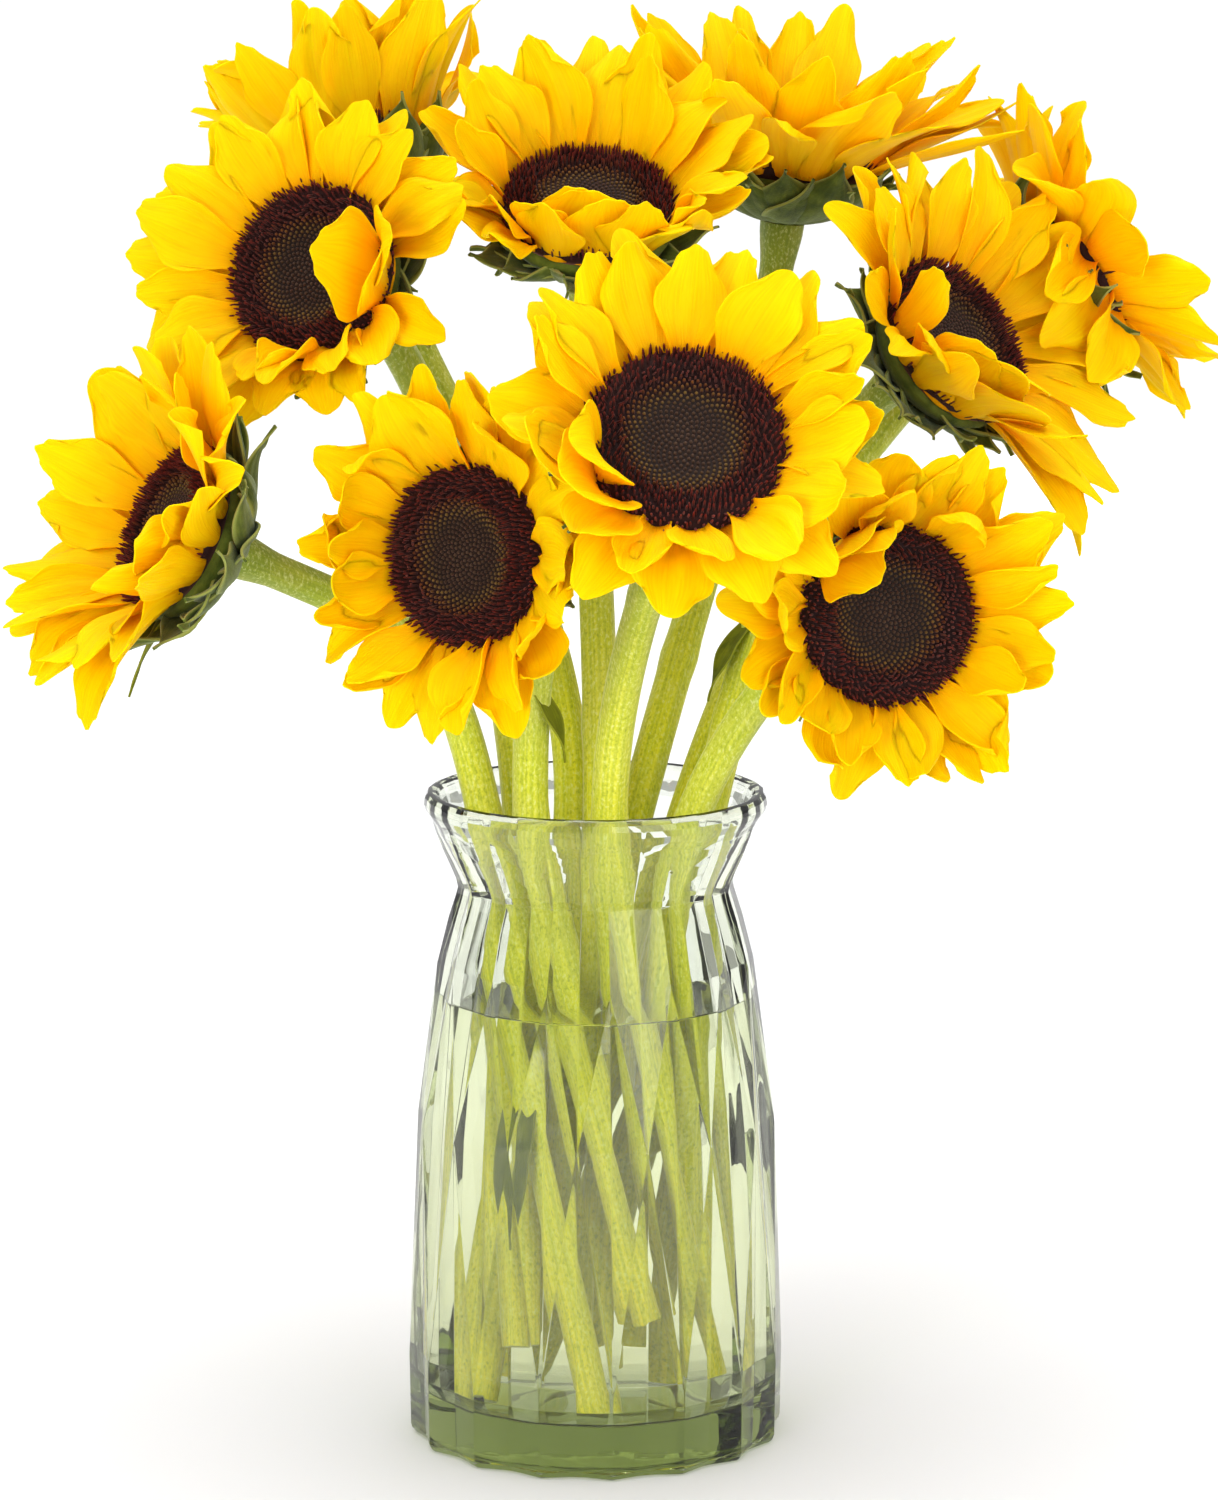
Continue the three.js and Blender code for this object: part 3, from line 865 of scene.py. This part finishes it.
def make_stem(flower):
    rng = random.Random(f"stem {flower}")
    line, length = stem_line(flower, STEM_RINGS)
    bpy.ops.mesh.primitive_cylinder_add(vertices=STEM_SIDES, radius=1, depth=1, end_fill_type="TRIFAN",
                                        location=(0, 0, 0.5))
    stem = bpy.context.object
    stem.name = f"stem_{flower}"
    settle(stem)
    bpy.ops.object.mode_set(mode="EDIT")
    bpy.ops.mesh.select_all(action="DESELECT")
    mesh = bmesh.from_edit_mesh(stem.data)
    sides = [e for e in mesh.edges if abs(e.verts[0].co.z - e.verts[1].co.z) > 0.5]
    bmesh.ops.subdivide_edges(mesh, edges=sides, cuts=STEM_RINGS - 2, use_grid_fill=True)
    bmesh.update_edit_mesh(stem.data)
    bpy.ops.object.mode_set(mode="OBJECT")
    joints = [rng.uniform(0.34, 0.46), rng.uniform(0.56, 0.68), rng.uniform(0.76, 0.86)]
    phase = rng.uniform(0, 6.28)
    tangent = np.gradient(line, axis=0)
    tangent /= np.linalg.norm(tangent, axis=1)[:, None]
    across = np.cross(tangent[0], (0.3, 1, 0.1))
    frames = []
    for direction in tangent:
        across = across - direction * (across @ direction)
        across /= np.linalg.norm(across)
        frames.append((across.copy(), np.cross(direction, across)))
    uv = stem.data.uv_layers.active or stem.data.uv_layers.new(name="UVMap")
    flat = [(vertex.co.x, vertex.co.y, vertex.co.z) for vertex in stem.data.vertices]
    for loop in stem.data.loops:
        x, y, z = flat[loop.vertex_index]
        uv.data[loop.index].uv = (z, math.atan2(y, x) / (2 * math.pi) + 0.5)
    for vertex, (x, y, z) in zip(stem.data.vertices, flat):
        ring = int(round(z * (STEM_RINGS - 1)))
        turn = math.atan2(y, x)
        swell = sum(math.exp(-((z - joint) * length / 4.5) ** 2) for joint in joints)
        neck = smooth_step(length - 16, length, z * length)
        radius = STEM_RADIUS * (1.0 - 0.08 * z) * (1 + 0.09 * swell + 0.34 * float(neck))
        radius *= 1 + 0.028 * math.cos(7 * turn + phase + 1.3 * z) + 0.012 * math.sin(3 * turn + 9 * z)
        radius *= min(1.0, math.hypot(x, y))
        first, second = frames[ring]
        point = line[ring] + first * radius * math.cos(turn) + second * radius * math.sin(turn)
        vertex.co = Vector(point) * MM
    tint = stem.data.attributes.new("tint", "FLOAT", "POINT")
    tint.data.foreach_set("value", [rng.random()] * len(stem.data.vertices))
    pick(stem)
    bpy.ops.object.shade_smooth_by_angle(angle=math.radians(50))
    return stem


stem_pieces = {flower: make_stem(flower) for flower in FLOWERS}
for flower, stem in stem_pieces.items():
    stands_for(stem, [f"{flower}_stem"])

# %% [markdown]
# ## Loose leaves
#
# A few leaves were left on when the stems were stripped. Each hangs from its base, on a stem or a
# calyx, to its tip, folded a little along the middle.

# %% Leaves
# base and tip (right, back, up) and width, in mm
LEAVES = {
    "leaf_far_left": ((-117, -34, 261), (-137, -33, 233), 11),
    "leaf_left": ((-21, -20, 236), (-8, -27, 212), 8),
    "leaf_right": ((46, 8, 247), (33, -2, 226), 8),
    "leaf_in_water": ((-18.5, -20.5, 106), (-23, -29, 66), 6.5),
}


def make_leaf(name):
    base, tip, width = LEAVES[name]
    rng = random.Random(name)
    along = Vector(tip) - Vector(base)
    points = bend_blade(along.length * 1.04, width, bract_outline, (14, 0, -24), (0, 0), roll=(34, 10),
                        pleat=0.02, ruffle=(0.5, 1.3, rng.uniform(0, 6)), twist=rng.uniform(-20, 20))
    leaf = join_copies(f"blade_{name}", [(points, rng.random())], BLADE_FACES, BLADE_ALONG, BLADE_ACROSS)
    turn = along.to_track_quat("X", "Z").to_matrix().to_4x4()
    leaf.data.transform(Matrix.Translation(Vector(base) * MM) @ turn)
    thicken(leaf, 0.5 * MM)
    return leaf


leaf_pieces = {name: make_leaf(name) for name in LEAVES}
for name, leaf in leaf_pieces.items():
    stands_for(leaf, [name])

# %% [markdown]
# ## Finishes
#
# Every finish is built from nodes. Blades and stems carry a UV map that runs along and across them,
# so veins and ribs follow the shape. `tint` is one number for each petal, bract or floret, so that
# no two are quite alike.

# %% Helpers for nodes


class Finish:
    """A material with short words for the nodes that the finishes below use."""

    def __init__(self, name):
        self.material = bpy.data.materials.new(name)
        self.material.use_nodes = True
        self.tree = self.material.node_tree
        self.shader = self.tree.nodes["Principled BSDF"]
        self.output = self.tree.nodes["Material Output"]

    def add(self, kind, **settings):
        node = self.tree.nodes.new("ShaderNode" + kind)
        for key, value in settings.items():
            setattr(node, key, value)
        return node

    def link(self, source, target):
        self.tree.links.new(source, target)

    def uv(self, along, across):
        """The piece's UV map, stretched."""
        place = self.add("UVMap", uv_map="UVMap")
        stretch = self.add("Mapping")
        stretch.inputs["Scale"].default_value = (along, across, 1)
        self.link(place.outputs["UV"], stretch.inputs["Vector"])
        return stretch.outputs["Vector"]

    def uv_parts(self):
        place = self.add("UVMap", uv_map="UVMap")
        parts = self.add("SeparateXYZ")
        self.link(place.outputs["UV"], parts.inputs["Vector"])
        return parts.outputs["X"], parts.outputs["Y"]

    def object_place(self, scale=(1, 1, 1)):
        place = self.add("TexCoord")
        stretch = self.add("Mapping")
        stretch.inputs["Scale"].default_value = scale
        self.link(place.outputs["Object"], stretch.inputs["Vector"])
        return stretch.outputs["Vector"]

    def tint(self):
        return self.add("Attribute", attribute_name="tint").outputs["Fac"]

    def noise(self, vector, scale, detail=2.0, roughness=0.5):
        node = self.add("TexNoise")
        node.inputs["Scale"].default_value = scale
        node.inputs["Detail"].default_value = detail
        node.inputs["Roughness"].default_value = roughness
        self.link(vector, node.inputs["Vector"])
        return node.outputs["Fac"]

    def ramp(self, value, stops):
        node = self.add("ValToRGB")
        ramp = node.color_ramp
        while len(ramp.elements) < len(stops):
            ramp.elements.new(0.5)
        for element, (position, colour) in zip(ramp.elements, stops):
            element.position = position
            element.color = (*colour, 1)
        self.link(value, node.inputs["Fac"])
        return node.outputs["Color"]

    def mix(self, first, second, amount, blend="MIX"):
        node = self.add("Mix", data_type="RGBA", blend_type=blend)
        for socket, value in ((node.inputs[6], first), (node.inputs[7], second), (node.inputs[0], amount)):
            if isinstance(value, (tuple, float)):
                socket.default_value = (*value, 1) if isinstance(value, tuple) else value
            else:
                self.link(value, socket)
        return node.outputs[2]

    def scale(self, value, low, high, to_low, to_high):
        node = self.add("MapRange")
        for key, number in (("From Min", low), ("From Max", high), ("To Min", to_low), ("To Max", to_high)):
            node.inputs[key].default_value = number
        self.link(value, node.inputs["Value"])
        return node.outputs["Result"]

    def bump(self, height, strength, distance):
        node = self.add("Bump")
        node.inputs["Strength"].default_value = strength
        node.inputs["Distance"].default_value = distance
        self.link(height, node.inputs["Height"])
        self.link(node.outputs["Normal"], self.shader.inputs["Normal"])

    def set(self, **values):
        for key, value in values.items():
            self.shader.inputs[key.replace("_", " ")].default_value = value


# %% Petal
def petal_finish():
    petal = Finish("petal")
    along, across = petal.uv_parts()
    # Deeper orange towards each petal's foot: partly the petal's own colour, partly painted shade where the
    # petals crowd at the disc.
    gold = petal.ramp(along, [
        (0.0, (0.94, 0.29, 0.0)), (0.12, (0.97, 0.39, 0.0)), (0.34, (1.0, 0.50, 0.0)),
        (0.72, (1.0, 0.575, 0.0)), (1.0, (1.0, 0.605, 0.0))])
    tinted = petal.mix(gold, (1.0, 0.46, 0.0), petal.scale(petal.tint(), 0, 1, 0.0, 0.3))
    veins = petal.noise(petal.uv(1.6, 26), 1.0, 3)
    veined = petal.mix(tinted, petal.ramp(veins, [(0.32, (0.96, 0.84, 0.6)), (0.55, (1, 1, 1))]), 0.9,
                       "MULTIPLY")
    petal.link(veined, petal.shader.inputs["Base Color"])
    petal.bump(veins, 0.5, 0.6 * MM)
    petal.set(Roughness=0.6, Specular_IOR_Level=0.05, Subsurface_Weight=0.6, Subsurface_Scale=3 * MM,
              Subsurface_Radius=(1.0, 0.62, 0.03))
    return petal.material


# %% Disc
def disc_finish():
    disc = Finish("disc")
    share, height = disc.uv_parts()
    # The base ramp, near black at the florets' feet and on the cushion, is painted shade deep between the
    # florets. Towards their tips the florets take their own colours: dark buds, an olive-gold belt, maroon
    # outer florets.
    base = disc.ramp(share, [
        (0.0, (0.015, 0.008, 0.004)), (0.42, (0.010, 0.005, 0.002)), (0.52, (0.016, 0.006, 0.002)),
        (0.60, (0.016, 0.002, 0.002)), (1.0, (0.022, 0.002, 0.002))])
    tip = disc.ramp(share, [
        (0.0, (0.062, 0.038, 0.022)), (0.38, (0.040, 0.022, 0.010)), (0.50, (0.150, 0.088, 0.016)),
        (0.60, (0.170, 0.060, 0.008)), (0.67, (0.120, 0.008, 0.004)), (1.0, (0.19, 0.010, 0.005))])
    # Painted shade: each floret is darker towards its foot and brighter towards its tip.
    lit = disc.mix(base, tip, disc.scale(height, 0.35, 1.0, 0.0, 1.0))
    varied = disc.mix(lit, (0.35, 0.30, 0.30), disc.scale(disc.tint(), 0, 1, 0.55, 0.0), "MULTIPLY")
    disc.link(varied, disc.shader.inputs["Base Color"])
    grain = disc.noise(disc.object_place(), 1800, 2)
    disc.bump(grain, 0.4, 0.2 * MM)
    disc.set(Roughness=0.75, Specular_IOR_Level=0.25, Sheen_Weight=0.25, Sheen_Roughness=0.5)
    disc.shader.inputs["Sheen Tint"].default_value = (0.8, 0.35, 0.3, 1)
    return disc.material


# %% Calyx and leaves
def green_finish(name, dark, light, edge, fuzz):
    green = Finish(name)
    along, across = green.uv_parts()
    patches = green.noise(green.object_place(), 160, 3)
    body = green.mix(dark, light, green.scale(patches, 0.35, 0.68, 0.0, 1.0))
    tinted = green.mix(body, light, green.scale(green.tint(), 0, 1, 0.0, 0.5))
    veins = green.noise(green.uv(7, 16), 1.0, 4)
    veined = green.mix(tinted, green.ramp(veins, [(0.36, (0.62, 0.66, 0.55)), (0.6, (1, 1, 1))]), 0.8,
                       "MULTIPLY")
    off_middle = green.add("Math", operation="ABSOLUTE")
    green.link(green.scale(across, 0, 1, -1, 1), off_middle.inputs[0])
    rim = green.scale(off_middle.outputs[0], 0.8, 1.0, 0.0, 0.7)
    edged = green.mix(veined, edge, rim)
    green.link(edged, green.shader.inputs["Base Color"])
    hairs = green.noise(green.object_place(), 1500, 2, 0.6)
    green.bump(hairs, 0.5, 0.35 * MM)
    green.set(Roughness=0.8, Specular_IOR_Level=0.2, Sheen_Weight=fuzz, Sheen_Roughness=0.4)
    green.shader.inputs["Sheen Tint"].default_value = (0.75, 0.85, 0.6, 1)
    return green.material


# %% Stem
def stem_finish():
    stem = Finish("stem")
    along, across = stem.uv_parts()
    lime = stem.ramp(along, [
        (0.0, (0.80, 0.70, 0.01)), (0.3, (0.76, 0.74, 0.01)), (0.55, (0.70, 0.70, 0.03)),
        (0.85, (0.44, 0.52, 0.04)), (1.0, (0.22, 0.30, 0.03))])
    streaks = stem.noise(stem.uv(3, 34), 1.0, 4, 0.6)
    streaked = stem.mix(lime, stem.ramp(streaks, [(0.32, (0.58, 0.68, 0.40)), (0.62, (1.12, 1.08, 1.0))]),
                        0.8, "MULTIPLY")
    patches = stem.noise(stem.object_place(), 60, 3)
    patched = stem.mix(streaked, (0.62, 0.62, 0.10), stem.scale(patches, 0.45, 0.75, 0.0, 0.5))
    hairs = stem.noise(stem.object_place((1, 1, 0.6)), 1100, 3, 0.7)
    haired = stem.mix(patched, (0.80, 0.84, 0.34), stem.scale(hairs, 0.52, 0.70, 0.0, 0.6))
    pitted = stem.mix(haired, (0.22, 0.30, 0.02), stem.scale(hairs, 0.46, 0.32, 0.0, 0.6))
    stem.link(pitted, stem.shader.inputs["Base Color"])
    stem.bump(hairs, 0.5, 0.5 * MM)
    stem.set(Roughness=0.6, Specular_IOR_Level=0.35, Sheen_Weight=0.5, Sheen_Roughness=0.35,
             Subsurface_Weight=0.2, Subsurface_Scale=2 * MM)
    stem.shader.inputs["Subsurface Radius"].default_value = (0.6, 0.9, 0.2)
    stem.shader.inputs["Sheen Tint"].default_value = (0.9, 0.95, 0.75, 1)
    return stem.material


# %% Glass and water
def clear_finish(name, tint, ior, depth_colour, depth_density, shadow):
    """A clear body that lets lamps through, so that what it holds is lit."""
    clear = Finish(name)
    clear.set(Roughness=0.0, IOR=ior, Transmission_Weight=1.0)
    clear.shader.inputs["Base Color"].default_value = (*tint, 1)
    through = clear.add("BsdfTransparent")
    through.inputs["Color"].default_value = (*shadow, 1)
    path = clear.add("LightPath")
    either = clear.add("MixShader")
    clear.link(path.outputs["Is Shadow Ray"], either.inputs[0])
    clear.link(clear.shader.outputs["BSDF"], either.inputs[1])
    clear.link(through.outputs["BSDF"], either.inputs[2])
    clear.link(either.outputs["Shader"], clear.output.inputs["Surface"])
    depth = clear.add("VolumeAbsorption")
    depth.inputs["Color"].default_value = (*depth_colour, 1)
    depth.inputs["Density"].default_value = depth_density
    clear.link(depth.outputs["Volume"], clear.output.inputs["Volume"])
    ripples = clear.noise(clear.object_place((1, 1, 0.25)), 45, 2)
    clear.bump(ripples, 0.35, 1.0 * MM)
    return clear.material


# %% Dress every piece
def dress(piece, finish):
    piece.data.materials.clear()
    piece.data.materials.append(finish)


PETAL = petal_finish()
DISC = disc_finish()
CALYX = green_finish("calyx", (0.040, 0.062, 0.006), (0.125, 0.165, 0.020), (0.34, 0.38, 0.09), 0.3)
LEAF = green_finish("leaf", (0.09, 0.11, 0.002), (0.20, 0.22, 0.006), (0.28, 0.30, 0.02), 0.0)
STEM = stem_finish()
GLASS = clear_finish("glass", (0.96, 0.98, 0.96), 1.5, (0.60, 0.68, 0.20), 30, (0.90, 0.92, 0.90))
WATER = clear_finish("water", (1, 1, 1), 1.333, (0.90, 0.93, 0.25), 5, (0.96, 0.97, 0.95))
for flower in FLOWERS:
    dress(petal_pieces[flower], PETAL)
    dress(disc_pieces[flower], DISC)
    dress(calyx_pieces[flower], CALYX)
    dress(stem_pieces[flower], STEM)
for leaf in leaf_pieces.values():
    dress(leaf, LEAF)
dress(vase, GLASS)
dress(water, WATER)
print("materials:", len(bpy.data.materials))

# %% [markdown]
# ## Last update
#
# The view layer is updated once more, so that every piece's place is current.

# %% Update the view layer
bpy.context.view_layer.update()
